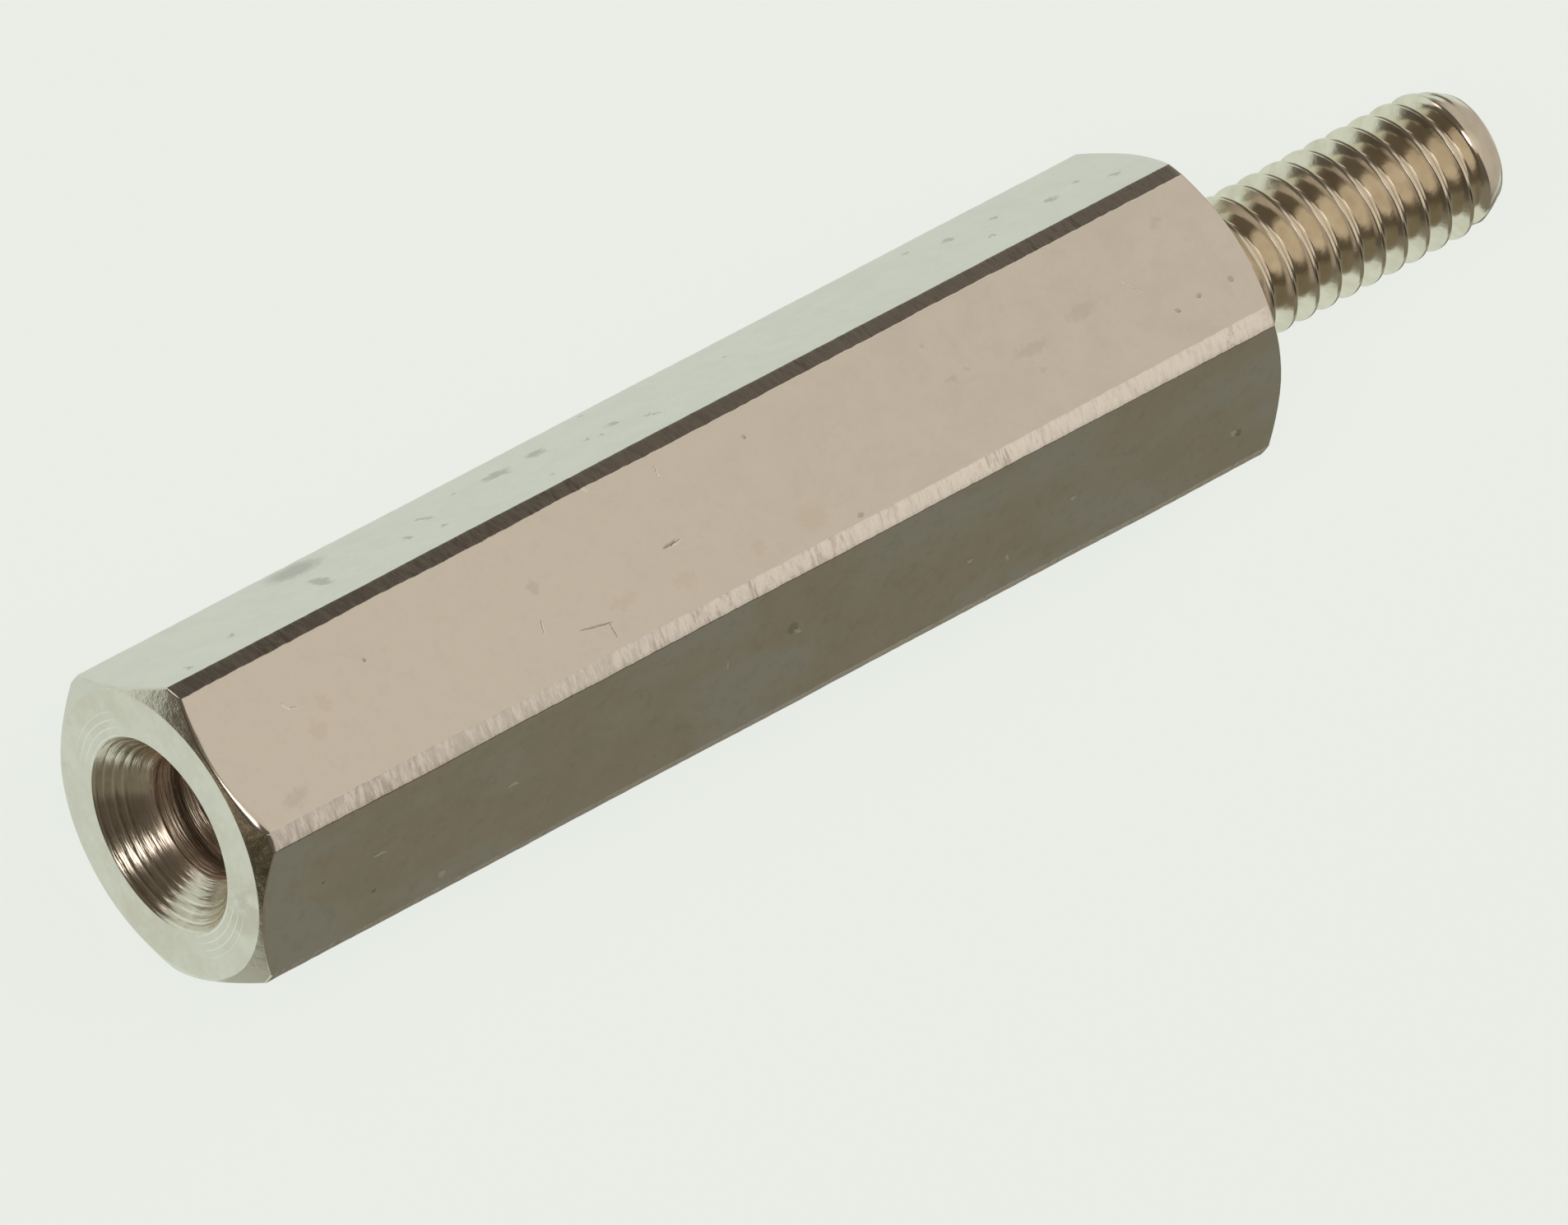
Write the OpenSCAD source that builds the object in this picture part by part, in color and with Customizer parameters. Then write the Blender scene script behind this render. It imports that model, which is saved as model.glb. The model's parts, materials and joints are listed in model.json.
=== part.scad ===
// Male-female hex standoff, turned from one length of hexagon bar and nickel plated.
// It lies on one of its flats. X runs along its axis from the tapped end to the stud, Z is up,
// and the origin is under the middle of its length, on the surface that it lies on.
// Threads follow the metric form: the bore is drawn at the minor diameter of its thread and
// the stud at the diameter over its crests.

/* [Hexagon body] */
// Distance across the flats of the bar
across_flats = 4.9; // [4:0.1:8]
// Length of the body from its tapped end to its shoulder
body_l = 20.2; // [12:0.1:60]
// How far each sharp corner of the hexagon is turned away, on the radius
corner_land = 0.085; // [0.03:0.005:0.15]

/* [Turned ends] */
// How far the edge of the face at the tapped end lies inside the flats
tapped_face_inset = 0.075; // [0.02:0.005:0.15]
// How far the edge of the shoulder face lies inside the flats
shoulder_face_inset = 0.015; // [0.01:0.005:0.15]
// Angle of both corner chamfers, measured from the face
chamfer_angle = 32; // [20:1:45]

/* [Thread] */
// Nominal diameter of both threads
thread_d = 2.5; // [2:0.5:3]
// Pitch of both threads
thread_pitch = 0.45; // [0.4:0.05:0.5]
// How far the crests of the stud lie under the nominal diameter
crest_allowance = 0.1; // [0:0.01:0.12]

/* [Tapped bore] */
// Depth of the full drilled bore
bore_l = 8; // [4:0.5:10]
// Point angle of the drill
drill_angle = 118; // [90:1:140]
// How far the edge of the countersink lies outside the nominal diameter, on the radius
countersink_margin = 0.385; // [0.2:0.005:0.5]
// Included angle of the countersink
countersink_angle = 80; // [60:1:120]

/* [Stud] */
// Length of the stud from the shoulder to its tip
stud_l = 5.8; // [3:0.1:20]
// How far the edge of the flat at the tip lies inside the crests, on the radius
tip_inset = 0.24; // [0.1:0.01:0.3]
// Length of the rounding that leads in to the thread
tip_l = 0.6; // [0.3:0.05:1]

/* [Hidden] */
round_fn = 96;
hexagon_fn = 6;
// Half of the angle that each flat spans about the axis.
half_flat = 180 / hexagon_fn;
// A cut runs past the face it opens in by this much.
past = 0.5;
// The axis lies half of the bar above the flat that the part rests on.
axis_z = across_flats / 2;
// The tapped end lies here along X, with the whole length centred on the origin.
tapped_x = -(body_l + stud_l) / 2;
// Radius over the sharp corners of the bar, and over the lands turned on them.
sharp_r = across_flats / 2 / cos(half_flat);
land_r = sharp_r - corner_land;
// Radii of the two turned faces, and how far each chamfer runs along the lands.
tapped_face_r = across_flats / 2 - tapped_face_inset;
shoulder_face_r = across_flats / 2 - shoulder_face_inset;
tapped_chamfer_l = (land_r - tapped_face_r) * tan(chamfer_angle);
shoulder_chamfer_l = (land_r - shoulder_face_r) * tan(chamfer_angle);
// The crests of a metric internal thread lie 5/8 of the height of its sharp triangle inside
// the nominal diameter.
flank_angle = 60;
thread_height = thread_pitch / 2 / tan(flank_angle / 2);
bore_r = thread_d / 2 - thread_height * 5 / 8;
drill_point_l = bore_r / tan(drill_angle / 2);
countersink_r = thread_d / 2 + countersink_margin;
countersink_l = (countersink_r - bore_r) / tan(countersink_angle / 2);
stud_r = (thread_d - crest_allowance) / 2;
// The tip is rounded by an arc that leaves the crests in line with the axis.
tip_arc_r = (tip_l * tip_l + tip_inset * tip_inset) / (2 * tip_inset);

// Stands children that were drawn along Z from the tapped end on the axis of the part.
module along_axis() {
    translate([tapped_x, 0, axis_z])
        rotate([0, 90, 0])
            children();
}

// The bar as it comes from the mill, with flats at the top and at the bottom.
module hexagon_bar() {
    rotate([0, 0, half_flat])
        cylinder(r = sharp_r, h = body_l, $fn = hexagon_fn);
}

// What turning leaves of a round bar: two faces, two chamfers and the lands between them.
module turned_envelope() {
    rotate_extrude($fn = round_fn)
        polygon([
            [0, 0],
            [tapped_face_r, 0],
            [land_r, tapped_chamfer_l],
            [land_r, body_l - shoulder_chamfer_l],
            [shoulder_face_r, body_l],
            [0, body_l]
        ]);
}

// The bore, with its countersink and the cone that the drill leaves.
module tapped_bore() {
    mouth_r = countersink_r + past * tan(countersink_angle / 2);
    rotate_extrude($fn = round_fn)
        polygon([
            [0, -past],
            [mouth_r, -past],
            [bore_r, countersink_l],
            [bore_r, bore_l],
            [0, bore_l + drill_point_l]
        ]);
}

// Half section of the stud: straight at its crests and rounded down to the flat of its tip.
module stud_section() {
    straight_l = stud_l - tip_l;
    translate([0, -past])
        square([stud_r, straight_l + past]);
    intersection() {
        translate([stud_r - tip_arc_r, straight_l])
            circle(r = tip_arc_r, $fn = round_fn);
        translate([0, straight_l - past])
            square([stud_r, tip_l + past]);
    }
}

// The stud grows out of the body, so its section starts inside the shoulder.
module threaded_stud() {
    translate([0, 0, body_l])
        rotate_extrude($fn = round_fn)
            stud_section();
}

module standoff() {
    color("silver")
        along_axis()
            difference() {
                union() {
                    intersection() {
                        hexagon_bar();
                        turned_envelope();
                    }
                    threaded_stud();
                }
                tapped_bore();
            }
}

standoff();
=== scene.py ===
"""A male-female hex standoff, nickel plated, lying on one of its flats on a pale lit table.

The part is one closed mesh, built from rings of points round its axis. The rings run from the
bottom of the tapped bore, out over the body and along the stud to its tip.
"""

import json
import math

import bmesh
import bpy
import numpy as np
from mathutils import Matrix, Vector


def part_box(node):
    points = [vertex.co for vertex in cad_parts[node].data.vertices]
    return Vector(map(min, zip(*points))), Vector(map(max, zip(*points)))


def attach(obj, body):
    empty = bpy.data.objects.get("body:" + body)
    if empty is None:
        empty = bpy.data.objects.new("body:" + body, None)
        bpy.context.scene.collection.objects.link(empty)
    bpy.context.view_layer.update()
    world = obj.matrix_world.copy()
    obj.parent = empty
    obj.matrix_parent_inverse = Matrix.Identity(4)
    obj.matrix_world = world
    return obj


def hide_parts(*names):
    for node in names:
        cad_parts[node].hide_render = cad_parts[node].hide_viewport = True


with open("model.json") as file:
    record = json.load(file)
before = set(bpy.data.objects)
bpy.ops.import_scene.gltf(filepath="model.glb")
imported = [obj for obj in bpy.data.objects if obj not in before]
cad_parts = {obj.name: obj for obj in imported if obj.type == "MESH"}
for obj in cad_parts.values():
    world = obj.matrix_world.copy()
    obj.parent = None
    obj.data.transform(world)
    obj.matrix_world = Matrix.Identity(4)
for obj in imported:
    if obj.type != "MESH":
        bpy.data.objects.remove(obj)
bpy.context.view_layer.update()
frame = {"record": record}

MM = 0.001
SEED = 11

# ---------------------------------------------------------------- sizes

mounts = {mount["name"]: mount for mount in frame["record"]["mounts"]}
low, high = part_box("standoff")

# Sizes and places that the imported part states.
AXIS_Z = (low.z + high.z) / 2
FLAT_R = (high.z - low.z) / 2
LAND_R = (high.y - low.y) / 2
TAPPED_X = low.x
SHOULDER_X = mounts["shoulder_face"]["pos_m"][0]
TIP_X = high.x
STUD_R = mounts["stud"]["dims"]["r_mm"] * MM
BORE_R = mounts["tapped_bore"]["dims"]["r_mm"] * MM

# The turned ends of the body, and the softened edges of the whole part. Angles are in degrees.
TAPPED_FACE_R = FLAT_R - 0.075 * MM
SHOULDER_FACE_R = FLAT_R - 0.015 * MM
CHAMFER_ANGLE = 32
CHAMFER_SLOPE = math.tan(math.radians(CHAMFER_ANGLE))
EDGE_R = 0.05 * MM
EDGE_SETBACK = 0.025 * MM

# The edge round the tapped face is worn on top. The mean and the spread of that wear are
# multiples of the plain setback, and it is smoothed over a window of columns. An edge counts
# as on top when the sine of its angle is past TOP_SINE.
WEAR_MEAN = 2.4
WEAR_SPREAD = 1.8
WEAR_WINDOW = 5
TOP_SINE = 0.83
TOP_SHARPNESS = 10

# The lands that are turned on the six corners wander a little along the bar. The slow part of
# it is smoothed over a window of rows and divided by WANDER_CALM, before it is limited.
LAND_WANDER = 0.006 * MM
LAND_CHATTER = 0.003 * MM
WANDER_WINDOW = 41
WANDER_CALM = 5

# The threads. Crests and roots are shares of half a pitch, and the shift is in turns. The groove
# in the bore only hints at its thread: a real one of this size is about 0.24 mm deep.
PITCH = 0.45 * MM
STUD_DEPTH = 0.27 * MM
STUD_CREST = 0.12
STUD_ROOT = 0.14
STUD_SHIFT = 0.36
TAP_DEPTH = 0.04 * MM
TAP_ROOT = 0.1
TAP_CREST = 0.15
TAP_LEAD = 1.0 * MM

# The tip of the stud, rounded by an arc that leaves the crests in line with the axis.
TIP_L = 0.8 * MM
TIP_INSET = 0.27 * MM
TIP_PLAIN = 0.05 * MM
TIP_FADE = 0.6 * MM
TIP_ARC_R = (TIP_L ** 2 + TIP_INSET ** 2) / (2 * TIP_INSET)

# The bore and its countersink.
BORE_L = 8.0 * MM
THREADED_L = mounts["tapped_bore"]["dims"]["length_mm"] * MM
DRILL_ANGLE = 118
DRILL_POINT_L = BORE_R / math.tan(math.radians(DRILL_ANGLE / 2))
MOUTH_R = 1.635 * MM
MOUTH_X = TAPPED_X + EDGE_SETBACK
SINK_ANGLE = 80
SINK_SLOPE = math.tan(math.radians(SINK_ANGLE / 2))
TERRACE_PITCH = 0.11 * MM
TERRACE_H = 0.003 * MM
TERRACES_L = 4 * TERRACE_PITCH

# How finely the rings are divided.
EDGE_STEPS = 3
LAND_STEPS = 4
FLAT_STEPS = 10
COLUMNS = 6 * (2 * EDGE_STEPS + LAND_STEPS + FLAT_STEPS)

# How many rows of points each stretch has.
BODY_ROWS = 180
SINK_ROWS = 42
DRILL_POINT_ROWS = 7
PLAIN_BORE_ROWS = 5
FACE_ROWS = 9
TIP_ROWS = 7

# Phases of the rows on one turn of each thread, closest together where its profile bends.
STUD_ROWS = (
    0.0, 0.04, 0.055, 0.065, 0.09, 0.25, 0.41, 0.43, 0.45,
    0.55, 0.57, 0.59, 0.75, 0.91, 0.935, 0.945, 0.96,
)
BORE_ROWS = (0.0, 0.04, 0.08, 0.20, 0.32, 0.42, 0.5, 0.58, 0.68, 0.80, 0.92, 0.96)

# Points that lie closer than this are welded, and shorter edges are closed up.
WELD_GAP = 0.0005 * MM
LEAST_EDGE = 0.0001 * MM

# Places of the material slots on the mesh.
FLATS, LANDS, TURNED, CHAMFER, STUD, BORE = range(6)


# ---------------------------------------------------------------- mesh

class Skin:
    """Grids of points round the axis that meet at their edges, welded into one closed mesh."""

    def __init__(self):
        self.points = []
        self.faces = []
        self.finishes = []

    def grid(self, x, radius, angle, finish, closed=True):
        """Adds rows of points. Each row is a turn round the axis, and a closed one joins up."""
        x, radius, angle = np.broadcast_arrays(x, radius, angle)
        rows, columns = x.shape
        start = sum(len(block) for block in self.points)
        y = radius * np.cos(angle)
        z = AXIS_Z + radius * np.sin(angle)
        self.points.append(np.stack([x, y, z], axis=-1).reshape(-1, 3))
        index = start + np.arange(rows * columns).reshape(rows, columns)
        finish = np.broadcast_to(finish, columns)
        for column in range(columns if closed else columns - 1):
            beside = (column + 1) % columns
            quads = np.stack([
                index[:-1, column], index[:-1, beside], index[1:, beside], index[1:, column],
            ], axis=-1)
            self.faces.extend(quads.tolist())
            self.finishes.extend([int(finish[column])] * len(quads))

    def build(self, name):
        """Welds the grids and returns them as one object."""
        mesh = bpy.data.meshes.new(name)
        mesh.from_pydata(np.concatenate(self.points).tolist(), [], self.faces)
        mesh.polygons.foreach_set("material_index", self.finishes)
        welded = bmesh.new()
        welded.from_mesh(mesh)
        bmesh.ops.remove_doubles(welded, verts=welded.verts, dist=WELD_GAP)
        bmesh.ops.dissolve_degenerate(welded, edges=welded.edges, dist=LEAST_EDGE)
        bmesh.ops.recalc_face_normals(welded, faces=welded.faces)
        welded.to_mesh(mesh)
        welded.free()
        mesh.polygons.foreach_set("use_smooth", [True] * len(mesh.polygons))
        piece = bpy.data.objects.new(name, mesh)
        bpy.context.scene.collection.objects.link(piece)
        return piece


def mix(a, b, share):
    """a where the share is 0, and b where it is 1."""
    return a + (b - a) * share


def turn(angle):
    """Unit vector at an angle round the axis, as a complex number y + iz."""
    return np.exp(1j * angle)


def soft_clamp(value, softness=0.02):
    """0 below 0, 1 above 1 and straight between them, with both bends rounded."""
    def ramp(v):
        return softness * np.logaddexp(0, v / softness)
    return ramp(value) - ramp(value - 1)


def soft_min(a, b, softness=0.004 * MM):
    """The lower of two values, rounded where they cross."""
    return -softness * np.logaddexp(-a / softness, -b / softness)


def soft_max(a, b, softness=0.004 * MM):
    """The higher of two values, rounded where they cross."""
    return -soft_min(-a, -b, softness)


def soft_corner(before, corner, after, setback=EDGE_SETBACK):
    """Rounds a corner of each column's profile. Points are complex numbers x + i * radius."""
    setback = np.minimum(setback, 0.45 * np.minimum(abs(before - corner), abs(after - corner)))
    start = corner + (before - corner) / abs(before - corner) * setback
    end = corner + (after - corner) / abs(after - corner) * setback
    share = np.linspace(0, 1, EDGE_STEPS + 1)[:, None]
    return mix(mix(start, corner, share), mix(corner, end, share), share)


# Angles of the columns where the part is round. Column 0 lies on the edge of the first flat.
ROUND_ANGLES = np.radians(30 + 360 / COLUMNS * (np.arange(COLUMNS) - EDGE_STEPS - FLAT_STEPS / 2))


def flat_edge(land_r, normal, side):
    """The softened edge between a flat and the land on one side of it, from flat to land."""
    reach = np.arccos((FLAT_R - EDGE_R) / (land_r - EDGE_R)) * side
    centre = (land_r - EDGE_R) * turn(normal + reach)
    return [centre + EDGE_R * turn(normal + reach * k / EDGE_STEPS) for k in range(EDGE_STEPS + 1)]


def hexagon_rows(land_r):
    """Outline of the bar at each row: six flats, and a land on each corner with its own radius."""
    outline = []
    for flat in range(6):
        normal = math.radians(60 * flat + 30)
        here = flat_edge(land_r[:, flat], normal, -1)
        ahead = flat_edge(land_r[:, (flat + 1) % 6], normal, 1)
        beyond = flat_edge(land_r[:, (flat + 1) % 6], normal + math.radians(60), -1)
        outline += here[::-1]
        outline += [mix(here[0], ahead[0], k / FLAT_STEPS) for k in range(1, FLAT_STEPS)]
        outline += ahead
        for k in range(1, LAND_STEPS):
            chord = mix(ahead[-1], beyond[-1], k / LAND_STEPS)
            outline.append(chord / abs(chord) * land_r[:, (flat + 1) % 6])
    return np.stack(outline, axis=1)


def hexagon_finishes():
    """Material slot of each column of the bar: the flats, and the lands with their edges."""
    sector = [LANDS] * EDGE_STEPS + [FLATS] * FLAT_STEPS + [LANDS] * (EDGE_STEPS + LAND_STEPS)
    return sector * 6


def wandering_lands(rng):
    """Radius of each corner's land at each row of the body."""
    coarse = rng.normal(size=(BODY_ROWS + WANDER_WINDOW - 1, 6))
    window = np.hanning(WANDER_WINDOW) / WANDER_CALM
    slow = np.stack([np.convolve(column, window, "valid") for column in coarse.T], axis=1)
    chatter = rng.normal(size=(BODY_ROWS, 6))
    return LAND_R + LAND_WANDER * np.tanh(slow) + LAND_CHATTER * np.tanh(chatter)


def worn_setback(rng, angle):
    """Setback of the edge round the tapped face: longer and uneven where it lies on top."""
    window = np.hanning(WEAR_WINDOW + 2)[1:-1]
    uneven = np.convolve(rng.normal(size=COLUMNS + WEAR_WINDOW - 1), window, "valid")
    on_top = np.clip(TOP_SHARPNESS * (np.sin(angle) - TOP_SINE), 0, 1)
    return EDGE_SETBACK * (1 + on_top * (WEAR_MEAN + WEAR_SPREAD * np.tanh(uneven)))


def bore_radius(x, angle):
    """Radius of the bore: the countersink with its terraces, and the thread that is cut in it."""
    depth = x - TAPPED_X
    terraces = TERRACE_H * np.sin(2 * math.pi * depth / TERRACE_PITCH) * (depth < TERRACES_L)
    cone = MOUTH_R - depth * SINK_SLOPE + terraces
    wall = soft_max(cone, np.full_like(cone, BORE_R))
    phase = x / PITCH - angle / (2 * math.pi)
    from_groove = np.abs((phase + 0.5) % 1 - 0.5) * 2
    cut = 1 - soft_clamp((from_groove - TAP_ROOT) / (1 - TAP_ROOT - TAP_CREST))
    lead = np.clip((THREADED_L - depth) / TAP_LEAD, 0, 1)
    return soft_max(wall, BORE_R + TAP_DEPTH * cut * lead)


def stud_radius(x, angle):
    """Radius of the stud: its thread, worn down to the arc that rounds its tip."""
    phase = x / PITCH - angle / (2 * math.pi) + STUD_SHIFT
    from_crest = np.abs((phase + 0.5) % 1 - 0.5) * 2
    depth = soft_clamp((from_crest - STUD_CREST) / (1 - STUD_CREST - STUD_ROOT))
    depth = depth * np.clip((TIP_X - TIP_PLAIN - x) / TIP_FADE, 0, 1)
    past_straight = np.maximum(x - (TIP_X - TIP_L), 0)
    rounding = STUD_R - TIP_ARC_R + np.sqrt(TIP_ARC_R ** 2 - past_straight ** 2)
    return soft_min(STUD_R - STUD_DEPTH * depth, rounding)


def add_thread(skin, x_from, x_to, radius_of, shift, row_phases, finish):
    """Adds a stretch whose rows follow the helix at these phases, cut off square at both ends."""
    turns = np.arange(COLUMNS + 1) / COLUMNS
    start, end = sorted((x_from, x_to))
    first_turn = ROUND_ANGLES[0] / (2 * math.pi) - shift
    # A pitch or two more than the stretch has, so that it is covered wherever a turn starts.
    first_pitch = math.floor(start / PITCH - first_turn) - 2
    last_pitch = math.ceil(end / PITCH - first_turn) + 1
    pitches = np.arange(first_pitch, last_pitch + 1)
    rows = (pitches[:, None] + np.array(row_phases)).ravel()
    if x_to < x_from:
        rows = rows[::-1]
    x = np.clip(PITCH * (rows[:, None] + first_turn + turns), start, end)
    angle = ROUND_ANGLES[0] + 2 * math.pi * turns
    skin.grid(x, radius_of(x, np.broadcast_to(angle, x.shape)), angle, finish, closed=False)


def add_face(skin, x, start_r, start_angle, end_r, end_angle, rings, finish):
    """Adds a flat face between two rings, whose columns move over from one to the other."""
    share = np.linspace(0, 1, rings)[:, None]
    skin.grid(x, mix(start_r, end_r, share), mix(start_angle, end_angle, share), finish)


def add_bore(skin):
    """Adds the cone that the drill leaves, a plain stretch, the thread and the countersink."""
    ring = ROUND_ANGLES
    bottom_x = TAPPED_X + BORE_L
    share = np.linspace(0, 1, DRILL_POINT_ROWS)[:, None]
    skin.grid(bottom_x + DRILL_POINT_L * (1 - share), BORE_R * share, ring, BORE)
    thread_end_x = TAPPED_X + THREADED_L
    thread_end_r = bore_radius(np.full(COLUMNS, thread_end_x), ring)
    share = np.linspace(0, 1, PLAIN_BORE_ROWS)[:, None]
    skin.grid(mix(bottom_x, thread_end_x, share), mix(BORE_R, thread_end_r, share), ring, BORE)
    terraces_x = TAPPED_X + TERRACES_L
    add_thread(skin, thread_end_x, terraces_x, bore_radius, 0.0, BORE_ROWS, BORE)
    sink_x = np.linspace(terraces_x, MOUTH_X, SINK_ROWS)[:, None]
    sink_x = np.broadcast_to(sink_x, (SINK_ROWS, COLUMNS))
    skin.grid(sink_x, bore_radius(sink_x, ring), ring, BORE)


def add_body(skin, rng):
    """Adds the tapped face, the bar between its two chamfers, and the shoulder."""
    ring = ROUND_ANGLES
    outline = hexagon_rows(wandering_lands(rng))
    bar_r, bar_angle = np.abs(outline), np.unwrap(np.angle(outline), axis=1)
    first_angle, last_angle = bar_angle[0], bar_angle[-1]

    # Corners of the profile of both turned ends. Points far off give the way an edge leads.
    tapped_edge = np.full(COLUMNS, TAPPED_X + 1j * TAPPED_FACE_R)
    shoulder_edge = np.full(COLUMNS, SHOULDER_X + 1j * SHOULDER_FACE_R)
    first_corner = TAPPED_X + (bar_r[0] - TAPPED_FACE_R) * CHAMFER_SLOPE + 1j * bar_r[0]
    last_corner = SHOULDER_X - (bar_r[-1] - SHOULDER_FACE_R) * CHAMFER_SLOPE + 1j * bar_r[-1]
    far = (SHOULDER_X - TAPPED_X) / 2
    tapped_rim = soft_corner(tapped_edge - 1j * far, tapped_edge, first_corner)
    worn = worn_setback(rng, first_angle)
    tapped_shoulder = soft_corner(tapped_edge, first_corner, first_corner + far, worn)
    stud_edge = soft_corner(last_corner - far, last_corner, shoulder_edge)
    stud_rim = soft_corner(last_corner, shoulder_edge, shoulder_edge - 1j * far)

    # The tapped face, from the mouth of the countersink to its chamfer.
    sink_end = MOUTH_X + 1j * bore_radius(np.full(COLUMNS, MOUTH_X), ring)
    mouth = np.full(COLUMNS, TAPPED_X + 1j * MOUTH_R)
    mouth_rim = soft_corner(sink_end, mouth, mouth + 1j * far, setback=2 * EDGE_SETBACK)
    mouth_rim = np.concatenate([sink_end[None], mouth_rim])
    skin.grid(mouth_rim.real, mouth_rim.imag, ring, TURNED)
    mouth_r, rim_r = mouth_rim[-1].imag, tapped_rim[0].imag
    add_face(skin, TAPPED_X, mouth_r, ring, rim_r, first_angle, FACE_ROWS, TURNED)
    skin.grid(tapped_rim.real, tapped_rim.imag, first_angle, TURNED)
    chamfer = np.stack([tapped_rim[-1], tapped_shoulder[0]])
    skin.grid(chamfer.real, chamfer.imag, first_angle, CHAMFER)
    skin.grid(tapped_shoulder.real, tapped_shoulder.imag, first_angle, TURNED)

    # The bar between its two chamfers.
    share = np.linspace(0, 1, BODY_ROWS)[:, None]
    body_x = mix(tapped_shoulder[-1].real, stud_edge[0].real, share)
    skin.grid(body_x, bar_r, bar_angle, hexagon_finishes())

    # The shoulder: a chamfer, and the face that the stud grows out of.
    skin.grid(stud_edge.real, stud_edge.imag, last_angle, TURNED)
    chamfer = np.stack([stud_edge[-1], stud_rim[0]])
    skin.grid(chamfer.real, chamfer.imag, last_angle, CHAMFER)
    skin.grid(stud_rim.real, stud_rim.imag, last_angle, TURNED)
    root_r = stud_radius(np.full(COLUMNS, SHOULDER_X), ring)
    add_face(skin, SHOULDER_X, stud_rim[-1].imag, last_angle, root_r, ring, FACE_ROWS, TURNED)


def add_stud(skin):
    """Adds the thread of the stud, and the flat of its tip with a softened rim."""
    ring = ROUND_ANGLES
    neck_x = TIP_X - EDGE_SETBACK
    add_thread(skin, SHOULDER_X, neck_x, stud_radius, STUD_SHIFT, STUD_ROWS, STUD)
    neck_r = stud_radius(np.full(COLUMNS, neck_x), ring)
    neck = neck_x + 1j * neck_r
    tip_edge = TIP_X + 1j * neck_r
    tip_rim = np.concatenate([neck[None], soft_corner(neck, tip_edge, tip_edge - 1j * TIP_X)])
    skin.grid(tip_rim.real, tip_rim.imag, ring, STUD)
    add_face(skin, TIP_X, tip_rim[-1].imag, ring, 0 * neck_r, ring, TIP_ROWS, STUD)


def standoff():
    """The whole part, from the bottom of its bore to the tip of its stud."""
    skin = Skin()
    add_bore(skin)
    add_body(skin, np.random.default_rng(SEED))
    add_stud(skin)
    return skin.build("hex_standoff")


# ---------------------------------------------------------------- materials

NICKEL = (0.80, 0.75, 0.68)
LAND = (1.0, 0.955, 0.90)
MARKED_NICKEL = (0.59, 0.55, 0.48)

# Places in millimetres between which a finish changes over: the height at which the top flat
# starts, and the place across the bar at which the side that faces the dark wall starts.
# At both places the finish brings in painted light.
TOP_FLAT = (4.6, 4.8)
DARK_SIDE = (-1.3, -1.5)


def colour(rgb, gain=1.0):
    """The four numbers of a colour socket, with the colour made lighter or darker by the gain."""
    return tuple(channel * gain for channel in rgb) + (1.0,)


class Nodes:
    """Short calls that add nodes to a tree."""

    def __init__(self, tree):
        self.tree = tree

    def node(self, kind, inputs=(), **settings):
        made = self.tree.nodes.new(kind)
        for name, value in settings.items():
            setattr(made, name, value)
        for name, value in dict(inputs).items():
            if isinstance(value, bpy.types.NodeSocket):
                self.tree.links.new(value, made.inputs[name])
            else:
                made.inputs[name].default_value = value
        return made

    def math(self, operation, a, b=0.0):
        return self.node("ShaderNodeMath", {0: a, 1: b}, operation=operation).outputs[0]

    def vector(self, operation, a, b=(0, 0, 0), **inputs):
        made = self.node("ShaderNodeVectorMath", {0: a, 1: b, **inputs}, operation=operation)
        return made.outputs["Value" if operation in ("LENGTH", "DOT_PRODUCT") else 0]

    def noise(self, place, scale, detail=2.0, roughness=0.5):
        inputs = {"Vector": place, "Scale": scale, "Detail": detail, "Roughness": roughness}
        return self.node("ShaderNodeTexNoise", inputs).outputs["Fac"]

    def between(self, value, start, end):
        """0 at start and 1 at end, smooth between them. End may lie under start."""
        inputs = {"Value": value, "From Min": start, "From Max": end}
        return self.node("ShaderNodeMapRange", inputs, interpolation_type="SMOOTHSTEP").outputs[0]

    def blend(self, share, a, b):
        made = self.node("ShaderNodeMix", {0: share}, data_type="RGBA")
        for socket, value in ((6, a), (7, b)):
            if isinstance(value, bpy.types.NodeSocket):
                self.tree.links.new(value, made.inputs[socket])
            else:
                made.inputs[socket].default_value = value
        return made.outputs[2]


class Finish(Nodes):
    """A procedural metal material."""

    def __init__(self, name, roughness):
        self.material = bpy.data.materials.new(name)
        self.material.use_nodes = True
        super().__init__(self.material.node_tree)
        self.shader = self.tree.nodes["Principled BSDF"]
        self.shader.inputs["Metallic"].default_value = 1.0
        self.shader.inputs["Roughness"].default_value = roughness
        place = self.node("ShaderNodeTexCoord").outputs["Object"]
        self.place = self.vector("SCALE", place, Scale=1 / MM)

    def stretched(self, along, across):
        """The place on the part, in millimetres, with its own scale along the axis and across it."""
        return self.vector("MULTIPLY", self.place, (along, across, across))

    def axes(self):
        """The place on the part, in millimetres: along the bar, across it and up."""
        return self.node("ShaderNodeSeparateXYZ", {0: self.place}).outputs

    def from_axis(self):
        """Distance from the axis of the part, in millimetres."""
        across = self.vector("ADD", self.place, (0, 0, -AXIS_Z / MM))
        return self.vector("LENGTH", self.vector("MULTIPLY", across, (0, 1, 1)))

    def tint(self, socket):
        self.tree.links.new(socket, self.shader.inputs["Base Color"])

    def rough(self, socket):
        self.tree.links.new(socket, self.shader.inputs["Roughness"])

    def bump(self, height):
        """Height is in millimetres."""
        made = self.node("ShaderNodeBump", {"Height": height, "Distance": MM, "Strength": 1.0})
        self.tree.links.new(made.outputs["Normal"], self.shader.inputs["Normal"])


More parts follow.
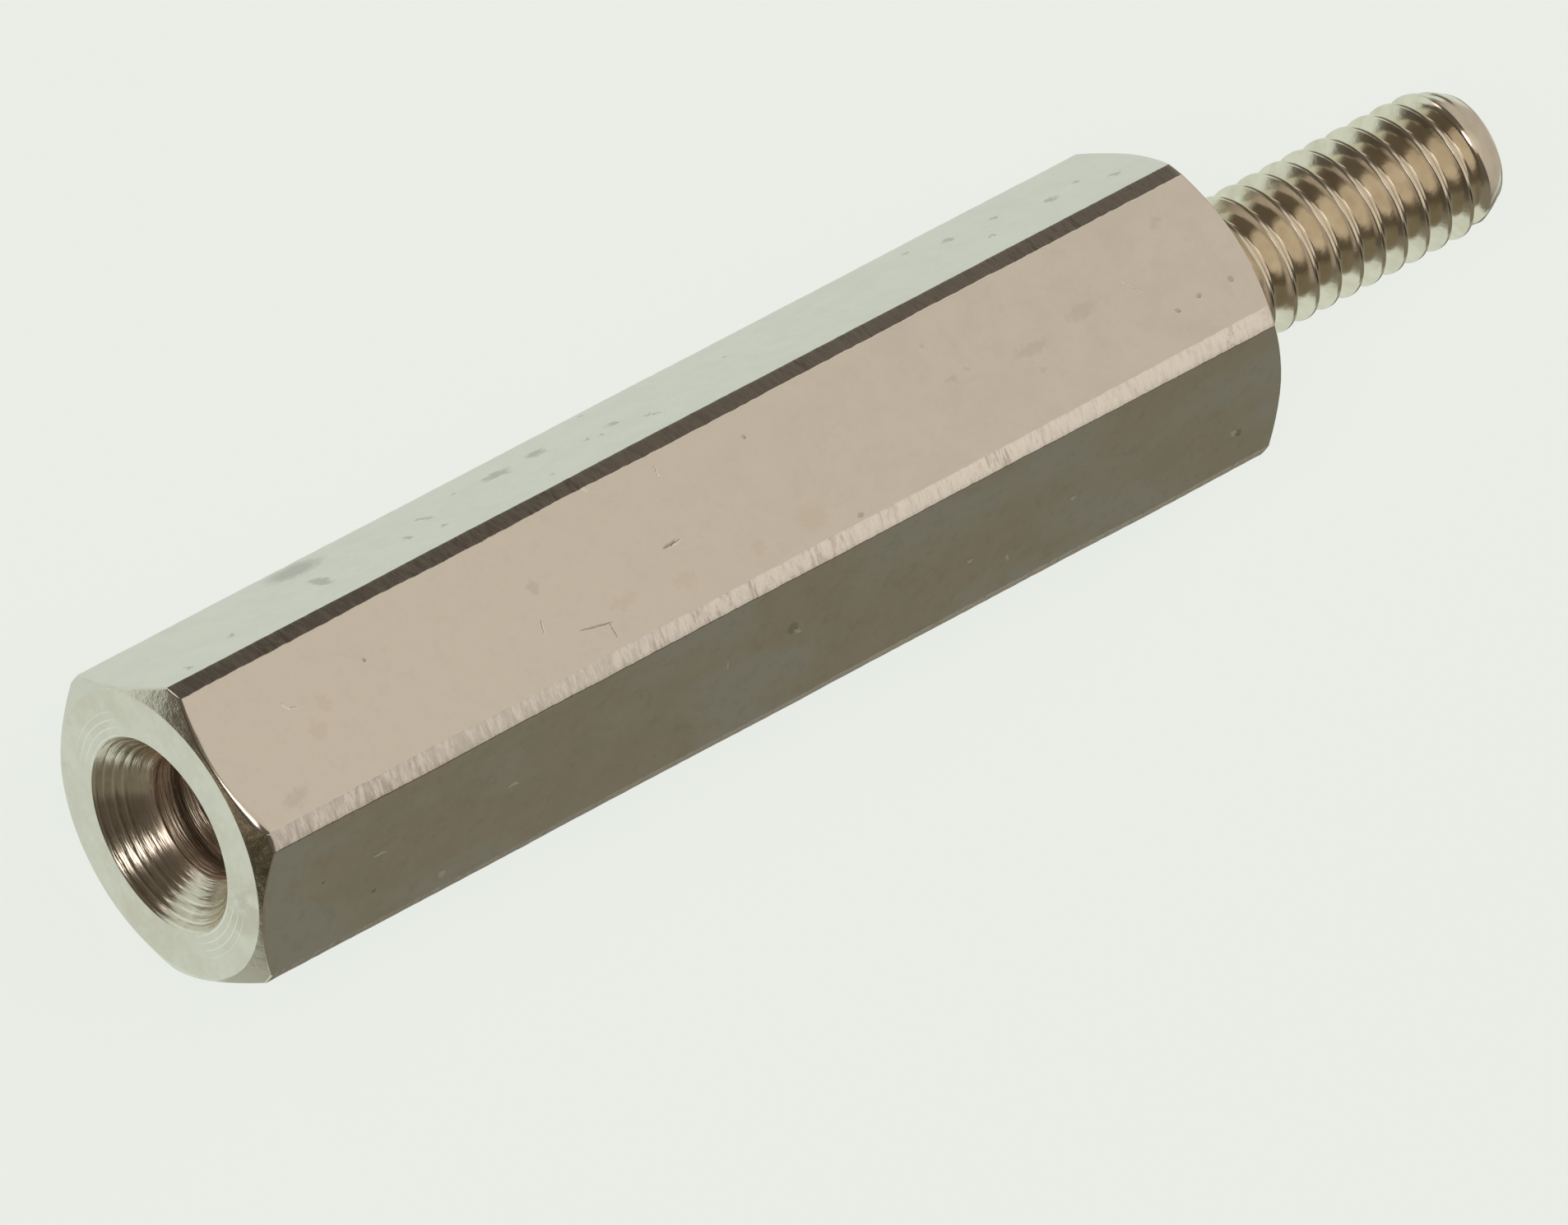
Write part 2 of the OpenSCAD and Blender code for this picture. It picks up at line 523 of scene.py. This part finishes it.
# Marks on the flats. Each has the angle of its flat, its place along the bar and across the flat,
# its half length and half width in millimetres, and how far it is turned in degrees.
STAINS = (
    (30, -8.82, -0.87, 0.43, 0.30, 0),
    (30, -9.03, 0.16, 0.12, 0.26, 0),
    (30, -5.14, -0.46, 0.22, 0.15, 0),
    (30, -4.34, -0.50, 0.16, 0.14, 20),
    (30, -6.72, -0.22, 0.05, 0.15, -20),
    (30, -7.37, 0.22, 0.06, 0.11, 0),
    (30, -6.87, 0.48, 0.04, 0.05, 0),
    (30, -5.86, -0.58, 0.05, 0.04, 0),
    (30, -4.90, 0.70, 0.05, 0.04, 0),
    (30, -3.70, 0.00, 0.05, 0.06, 0),
    (30, -3.50, 0.17, 0.04, 0.05, 0),
    (30, -3.14, -0.04, 0.09, 0.11, -30),
    (30, -3.04, -1.08, 0.06, 0.05, 0),
    (30, -2.68, 0.40, 0.04, 0.16, -25),
    (30, -0.66, -0.43, 0.05, 0.05, 0),
    (30, 3.23, -0.80, 0.05, 0.06, 0),
    (30, 3.80, -0.43, 0.09, 0.10, 0),
    (30, 4.10, 0.36, 0.05, 0.05, 0),
    (30, 4.68, -0.36, 0.05, 0.05, 0),
    (30, 5.47, 0.14, 0.12, 0.10, 0),
    (30, 6.10, -0.07, 0.05, 0.05, 0),
    (30, 6.50, 0.48, 0.09, 0.07, 0),
    (30, -10.98, 0.43, 0.05, 0.05, 0),
    (30, -12.10, 0.87, 0.06, 0.05, 0),
)
SMUDGES = (
    (90, 3.04, 0.10, 0.30, 0.09, 0),
    (90, 4.16, -0.08, 0.26, 0.11, 0),
    (90, 6.16, -0.76, 0.11, 0.08, 0),
    (90, -12.0, 0.93, 0.24, 0.12, -15),
    (90, -6.60, -0.23, 0.08, 0.12, 0),
    (90, 1.56, -0.06, 0.08, 0.06, 30),
    (90, 1.90, -0.12, 0.07, 0.03, -10),
    (90, 3.02, 0.50, 0.09, 0.04, 15),
    (90, 1.46, -0.74, 0.05, 0.05, 0),
)
YELLOWED = (
    (90, -11.08, 0.17, 0.15, 0.13, 0),
    (90, -10.75, -0.15, 0.12, 0.14, 30),
    (90, -1.85, 0.82, 0.26, 0.22, 20),
    (90, -2.90, 0.85, 0.12, 0.12, 0),
    (90, -5.40, 0.60, 0.25, 0.10, 0),
    (90, -4.30, 0.75, 0.20, 0.12, 0),
)
PITS = (
    (90, 6.70, 0.56, 0.045, 0.045, 0),
    (90, 6.06, 0.57, 0.05, 0.03, 0),
    (90, 5.60, 0.62, 0.05, 0.03, 30),
    (90, -9.75, -0.46, 0.03, 0.03, 0),
    (90, -2.08, -0.78, 0.03, 0.035, 0),
    (90, -1.10, 1.14, 0.06, 0.04, 0),
    (90, -6.05, 0.75, 0.27, 0.014, 12),
    (90, -5.84, 0.92, 0.12, 0.010, 95),
    (90, -4.20, 0.15, 0.14, 0.022, -8),
    (150, -2.60, -0.24, 0.10, 0.10, 0),
    (150, -11.8, -0.13, 0.03, 0.03, 0),
    (150, -10.8, 0.58, 0.04, 0.04, 0),
    (150, 6.36, 0.59, 0.06, 0.06, 0),
)
SCRATCHES = (
    (90, -11.32, -0.38, 0.09, 0.025, 60),
    (90, -11.22, -0.30, 0.07, 0.02, 20),
    (90, -6.83, 0.38, 0.12, 0.018, 110),
    (90, -4.10, 0.19, 0.12, 0.02, -8),
    (90, -3.68, -0.92, 0.12, 0.018, 95),
    (90, 5.14, -0.06, 0.22, 0.012, 55),
    (90, -4.93, -1.22, 0.08, 0.03, 60),
    (150, -2.50, -0.14, 0.09, 0.035, 30),
    (150, -10.69, -0.10, 0.13, 0.025, 5),
    (150, -8.09, -0.06, 0.12, 0.018, 10),
    (150, -3.88, -0.17, 0.09, 0.015, 90),
    (150, 0.95, 0.30, 0.05, 0.03, 0),
    (150, 3.00, 0.13, 0.05, 0.03, 0),
    (150, 1.70, 0.66, 0.07, 0.02, 70),
    (150, 6.26, 0.55, 0.06, 0.06, 0),
    (150, -9.47, 0.98, 0.07, 0.07, 0),
)

# How far a place is from a mark, in sizes of that mark, before any mark has been looked at.
FAR_OFF = 9.0


def marks(finish, listed, ragged, soft):
    """1 inside the listed marks and 0 round them.

    Their rims wander by up to about half of ragged, in millimetres, and fade over a share of
    their size that soft gives.
    """
    wander = finish.node("ShaderNodeTexNoise", {"Vector": finish.place, "Scale": 9.0}).outputs["Color"]
    wander = finish.vector("SCALE", finish.vector("ADD", wander, (-0.5, -0.5, -0.5)), Scale=ragged)
    place = finish.vector("ADD", finish.place, wander)
    nearest = FAR_OFF
    for flat, along, across, half_length, half_width, turned in listed:
        lean = Matrix.Rotation(math.radians(flat - 90), 3, "X")
        centre = lean @ Vector((along, -across, FLAT_R / MM)) + Vector((0, 0, AXIS_Z / MM))
        own = finish.node("ShaderNodeMapping", {
            "Vector": place,
            "Location": centre,
            "Rotation": (lean @ Matrix.Rotation(math.radians(-turned), 3, "Z")).to_euler(),
            "Scale": (half_length, half_width, 1.0),
        }, vector_type="TEXTURE").outputs[0]
        nearest = finish.math("MINIMUM", finish.vector("LENGTH", own), nearest)
    return finish.between(nearest, 1 + soft, 1 - soft)


def flats_finish():
    """Plated flats of the drawn bar: faint mottling, drawing lines, marks of handling, painted light.
    """
    smooth = 0.14
    f = Finish("plated_flats", smooth)
    along, across, height = f.axes()
    dark_side = f.between(across, *DARK_SIDE)
    mottle = f.noise(f.place, 1.4, detail=5.0, roughness=0.65)
    nickel = f.blend(f.between(mottle, 0.35, 0.7), colour(NICKEL, 1.01), colour(NICKEL, 0.96))
    # Painted light: the top flat grows lighter and loses its mottling towards the tapped end.
    painted_light_on_top = f.blend(f.between(along, 6.0, -11.0), nickel, colour(NICKEL, 1.035))
    nickel = f.blend(f.between(height, *TOP_FLAT), nickel, painted_light_on_top)
    # On the side that faces the dark wall, pale grey-green patches are a painted reflection.
    patch = f.between(f.noise(f.stretched(0.35, 0.8), 1.0, detail=3.0), 0.44, 0.6)
    nickel = f.blend(f.math("MULTIPLY", patch, dark_side), nickel, colour((0.80, 0.81, 0.79)))
    # The brown speckles are faint tone all over, and darker on that side as painted reflection.
    speckle = f.between(f.noise(f.place, 4.0, detail=6.0, roughness=0.75), 0.48, 0.68)
    depth = f.math("ADD", f.math("MULTIPLY", dark_side, 0.16), 0.08)
    nickel = f.blend(f.math("MULTIPLY", speckle, depth), nickel, colour((0.55, 0.48, 0.42)))
    for listed, strength, shade in (
        (STAINS, 0.85, (0.47, 0.44, 0.39)),
        (SMUDGES, 0.35, MARKED_NICKEL),
        (YELLOWED, 0.4, (0.74, 0.66, 0.52)),
    ):
        share = f.math("MULTIPLY", marks(f, listed, 0.3, 0.5), strength)
        nickel = f.blend(share, nickel, colour(shade))
    pits = marks(f, PITS, 0.04, 0.3)
    scratches = marks(f, SCRATCHES, 0.04, 0.3)
    nickel = f.blend(f.math("MULTIPLY", pits, 0.5), nickel, colour((0.42, 0.38, 0.33)))
    f.tint(f.blend(scratches, nickel, colour((1.0, 0.97, 0.92))))
    f.rough(f.math("ADD", f.math("MULTIPLY", scratches, 0.25), smooth))
    drawn = f.math("MULTIPLY", f.noise(f.stretched(0.35, 9.0), 1.0, detail=3.0), 0.0004)
    swell = f.math("MULTIPLY", f.noise(f.place, 0.35, detail=1.0), 0.008)
    dents = f.math("MULTIPLY", f.math("SUBTRACT", scratches, pits), 0.004)
    f.bump(f.math("ADD", f.math("ADD", drawn, swell), dents))
    return f.material


def lands_finish():
    """Lands turned on the corners, with ticks across them where the tool chattered."""
    f = Finish("turned_lands", 0.2)
    along = f.axes()[0]
    ticks = f.noise(f.stretched(12.0, 2.6), 1.0, detail=4.0, roughness=0.75)
    busy = f.between(f.noise(f.stretched(0.5, 0.2), 1.0, detail=2.0), 0.42, 0.66)
    depth = f.math("ADD", f.math("MULTIPLY", busy, 0.4), 0.2)
    dark = f.math("MULTIPLY", f.between(ticks, 0.50, 0.36), depth)

    # The tint is darker towards the tapped end, which stands in for how the light falls there.
    far = f.between(along, -13.0, 2.0)
    dull = f.blend(far, colour(LAND, 0.67), colour(LAND, 0.96))
    bright = f.blend(far, colour(LAND, 0.85), colour(LAND, 1.0))
    land = f.blend(f.between(ticks, 0.46, 0.62), dull, bright)
    f.tint(f.blend(dark, land, colour((0.48, 0.40, 0.34))))
    f.bump(f.math("MULTIPLY", ticks, 0.005))
    return f.material


def turned_finish():
    """Turned faces: faint rings, a stain at one side, and bright arcs beside the mouth."""
    f = Finish("turned_ends", 0.2)
    from_axis = f.from_axis()
    mottle = f.noise(f.place, 2.2, detail=5.0, roughness=0.7)
    light, dark = colour((0.83, 0.775, 0.69)), colour((0.77, 0.715, 0.625))
    nickel = f.blend(f.between(mottle, 0.35, 0.65), light, dark)
    patch = f.between(f.noise(f.place, 0.9, detail=4.0, roughness=0.7), 0.47, 0.66)
    nickel = f.blend(f.math("MULTIPLY", patch, 0.3), nickel, colour((0.66, 0.57, 0.46)))

    # The stain lies at this place across the bar and up.
    stain = f.vector("ADD", f.place, (0, 1.85, -3.5))
    stain = f.vector("LENGTH", f.vector("MULTIPLY", stain, (0, 1.5, 0.85)))
    stain = f.math("MULTIPLY", f.between(stain, 0.85, 0.3), f.between(mottle, 0.40, 0.58))
    nickel = f.blend(f.math("MULTIPLY", stain, 0.75), nickel, colour((0.66, 0.58, 0.49)))

    # The arcs are painted glints. They keep to both sides of the mouth, where the place is mostly
    # aside of the axis.
    aside = f.math("DIVIDE", f.math("ABSOLUTE", f.axes()[1]), from_axis)
    arcs = f.between(f.math("SINE", f.math("MULTIPLY", from_axis, 50.0)), 0.75, 1.0)
    arcs = f.math("MULTIPLY", arcs, f.between(from_axis, 2.15, 1.95))
    arcs = f.math("MULTIPLY", arcs, f.between(aside, 0.88, 0.97))
    f.tint(f.blend(arcs, nickel, colour((0.93, 0.88, 0.82))))
    rings = f.noise(f.node("ShaderNodeCombineXYZ", {0: from_axis}).outputs[0], 9.0, detail=3.0)
    f.bump(f.math("MULTIPLY", rings, 0.0008))
    return f.material


def chamfer_finish():
    """Chamfers, brown and uneven in places, with bright stretches of painted highlight."""
    f = Finish("rough_chamfers", 0.28)
    _, across, height = f.axes()
    uneven = f.between(f.noise(f.place, 3.5, detail=5.0, roughness=0.7), 0.35, 0.68)
    brown = f.blend(uneven, colour((0.46, 0.42, 0.32)), colour((0.68, 0.61, 0.51)))
    bright = f.blend(uneven, colour((0.84, 0.77, 0.66)), colour((0.92, 0.85, 0.76)))

    # Brown on the side that faces the dark wall, but painted highlight on the other side and low down,
    # brown again at its corner, and plain nickel at the corner across from it.
    worn = f.blend(f.between(across, -1.2, 0.6), brown, bright)
    worn = f.blend(f.between(height, 2.2, 1.6), worn, bright)
    worn = f.blend(f.between(across, -2.15, -2.35), worn, colour((0.50, 0.44, 0.36)))
    f.tint(f.blend(f.between(across, 1.95, 2.3), worn, colour(NICKEL)))
    f.bump(f.math("MULTIPLY", uneven, 0.006))
    return f.material


def stud_finish():
    """Plated thread of the stud."""
    f = Finish("plated_thread", 0.17)
    grime = f.between(f.noise(f.place, 3.0, detail=4.0), 0.35, 0.75)
    f.tint(f.blend(grime, colour((0.88, 0.81, 0.68)), colour((0.78, 0.70, 0.57))))
    f.bump(f.math("MULTIPLY", f.noise(f.place, 12.0, detail=3.0), 0.002))
    return f.material


def bore_finish():
    """Inside of the bore, brown, with fine lines that run round it."""
    smooth = 0.2
    f = Finish("tapped_bore", smooth)
    grime = f.between(f.noise(f.place, 4.0, detail=4.0), 0.3, 0.7)
    depth = f.math("SUBTRACT", f.axes()[0], TAPPED_X / MM)

    # The terraces of the countersink get a painted highlight on their ridges, and end before the
    # thread.
    worn = f.blend(grime, colour((0.75, 0.68, 0.57)), colour((0.62, 0.55, 0.44)))
    painted_ridge_highlight = f.math("SINE", f.math("MULTIPLY", depth, 2 * math.pi * MM / TERRACE_PITCH))
    painted_ridge_highlight = f.math("MULTIPLY", f.between(painted_ridge_highlight, 0.3, 0.95), f.between(depth, 0.46, 0.36))
    worn = f.blend(f.math("MULTIPLY", painted_ridge_highlight, 0.6), worn, colour((1.0, 0.94, 0.85)))

    # The thread is tinted lighter than the countersink, to make up for how dark a bore gets.
    threaded = f.blend(grime, colour((0.97, 0.87, 0.77)), colour((0.86, 0.73, 0.62)))
    f.tint(f.blend(f.between(depth, 0.4, 0.7), worn, threaded))

    # The thread is rougher than the countersink, and its lines stand higher.
    inside = f.between(depth, 0.5, 0.9)
    f.rough(f.math("ADD", f.math("MULTIPLY", inside, 0.16), smooth))
    lines = f.noise(f.stretched(22.0, 1.1), 1.0, detail=3.0, roughness=0.6)
    line_height = f.math("ADD", f.math("MULTIPLY", inside, 0.012), 0.012)
    f.bump(f.math("MULTIPLY", lines, line_height))
    return f.material


# ---------------------------------------------------------------- stage

# The camera stands on the tapped end's side and looks down on the part, rolled to the left.
CAMERA_TARGET = Vector((-1.208, -1.280, 1.509)) * MM
CAMERA_DISTANCE = 438.5 * MM
CAMERA_AZIMUTH = math.radians(-162.04)
CAMERA_ELEVATION = math.radians(58.70)
CAMERA_ROLL = math.radians(41.36)
CAMERA_LENS = 657.2

TABLE_WHITE = (0.825, 0.860, 0.812)
TABLE_GREY = (0.12, 0.12, 0.12)
TABLE_GLOW = 0.93
TABLE_SIZE = 600 * MM


def camera_axes():
    """Right, up and back of the camera, in the frame of the part."""
    level = math.cos(CAMERA_ELEVATION)
    back = Vector((
        level * math.cos(CAMERA_AZIMUTH),
        level * math.sin(CAMERA_AZIMUTH),
        math.sin(CAMERA_ELEVATION),
    ))
    right = Vector((0, 0, 1)).cross(back).normalized()
    up = back.cross(right)
    rolled = Matrix.Rotation(CAMERA_ROLL, 3, back)
    return rolled @ right, rolled @ up, back


def add_camera():
    right, up, back = camera_axes()
    data = bpy.data.cameras.new("camera")
    data.lens = CAMERA_LENS
    data.clip_start = 10 * MM
    data.clip_end = 5.0
    camera = bpy.data.objects.new("camera", data)
    place = CAMERA_TARGET + back * CAMERA_DISTANCE
    camera.matrix_world = Matrix.Translation(place) @ Matrix((right, up, back)).transposed().to_4x4()
    bpy.context.scene.collection.objects.link(camera)
    bpy.context.scene.camera = camera


# The room that the metal reflects: dim and brown all round, with some things that stand in it.
# Each has a direction, the angles in degrees from it between which it fades, and its colour.
# Those further down the list stand in front of those above them. They aren't plain studio light:
# each is placed and coloured for what the metal reflects in the camera's view.
DIM_ROOM = (0.105, 0.09, 0.07)
THINGS = (
    ((-1.0, 0.0, 0.0), 25, 45, (0.06, 0.05, 0.035)),  # dark doorway
    ((-1.0, 0.0, 0.03), 7, 14, (0.50, 0.42, 0.30)),  # lit gap in the doorway
    ((-0.05, -0.85, -0.515), 41, 49, (0.206, 0.192, 0.144)),  # olive wall
    ((1.0, 0.0, 0.1), 34, 52, (0.50, 0.46, 0.41)),  # pale wall
    ((0.494, -0.160, 0.854), 35, 43, (0.635, 0.577, 0.50)),  # beige screen
    ((0.494, -0.652, 0.575), 9, 16, (0.68, 0.617, 0.535)),  # brighter side of the screen
    ((-0.34, -0.173, 0.924), 12, 22, (0.80, 0.72, 0.64)),  # beige ceiling
    ((0.0, 0.278, -0.961), 60, 67, (0.68, 0.755, 0.69)),  # lit table
    ((-0.3, 0.94, -0.129), 18, 26, (0.68, 0.755, 0.69)),  # raised rim of the table
    ((0.50, 0.85, -0.17), 9, 17, (0.20, 0.195, 0.16)),  # shaded edge of the table
    ((0.494, -0.86, 0.12), 6, 13, (0.04, 0.034, 0.025)),  # dark corner of the room
    ((0.494, -0.27, -0.83), 14, 21, (0.22, 0.205, 0.16)),  # shade beside the part
    ((-0.321, 0.874, 0.364), 5, 9, (1.7, 1.5, 1.35)),  # small window
    ((-0.62, -0.054, 0.778), 8, 12, (3.7, 3.4, 3.15)),  # lamp
)


def add_room():
    """World light by fixed directions. The camera itself sees the same white as the table."""
    world = bpy.data.worlds.new("studio")
    bpy.context.scene.world = world
    world.use_nodes = True
    world.node_tree.nodes.clear()
    room = Nodes(world.node_tree)
    direction = room.node("ShaderNodeTexCoord").outputs["Generated"]
    seen = colour(DIM_ROOM)
    for towards, inner, outer, light in THINGS:
        near = room.vector("DOT_PRODUCT", direction, Vector(towards).normalized())
        share = room.between(near, math.cos(math.radians(outer)), math.cos(math.radians(inner)))
        seen = room.blend(share, seen, colour(light))
    reflected = room.node("ShaderNodeBackground", {"Color": seen}).outputs[0]
    backdrop = room.node("ShaderNodeBackground", {"Color": colour(TABLE_WHITE)}).outputs[0]
    is_camera = room.node("ShaderNodeLightPath").outputs["Is Camera Ray"]
    chosen = room.node("ShaderNodeMixShader", {0: is_camera, 1: reflected, 2: backdrop}).outputs[0]
    room.node("ShaderNodeOutputWorld", {"Surface": chosen})


def add_table():
    """A pale lit table top. It glows, so the part throws only a faint shadow on it."""
    mesh = bpy.data.meshes.new("table")
    half = TABLE_SIZE / 2
    corners = [(-half, -half, 0), (half, -half, 0), (half, half, 0), (-half, half, 0)]
    mesh.from_pydata(corners, [], [(0, 1, 2, 3)])
    table = bpy.data.objects.new("table", mesh)
    bpy.context.scene.collection.objects.link(table)
    material = bpy.data.materials.new("lit_table")
    material.use_nodes = True
    shader = material.node_tree.nodes["Principled BSDF"]
    shader.inputs["Base Color"].default_value = colour(TABLE_GREY)
    shader.inputs["Roughness"].default_value = 1.0
    shader.inputs["Specular IOR Level"].default_value = 0.0
    shader.inputs["Emission Color"].default_value = colour(TABLE_WHITE)
    shader.inputs["Emission Strength"].default_value = TABLE_GLOW
    mesh.materials.append(material)
    table.visible_glossy = False


# ---------------------------------------------------------------- scene

add_camera()
add_room()
add_table()
bpy.context.scene.view_settings.view_transform = "Standard"

part = standoff()
# The finishes come in the order of the material slots.
for finish in (flats_finish, lands_finish, turned_finish, chamfer_finish, stud_finish, bore_finish):
    part.data.materials.append(finish())
normals = part.modifiers.new("flat_faces_shade_flat", "WEIGHTED_NORMAL")
normals.keep_sharp = False
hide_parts("standoff")
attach(part, "root")
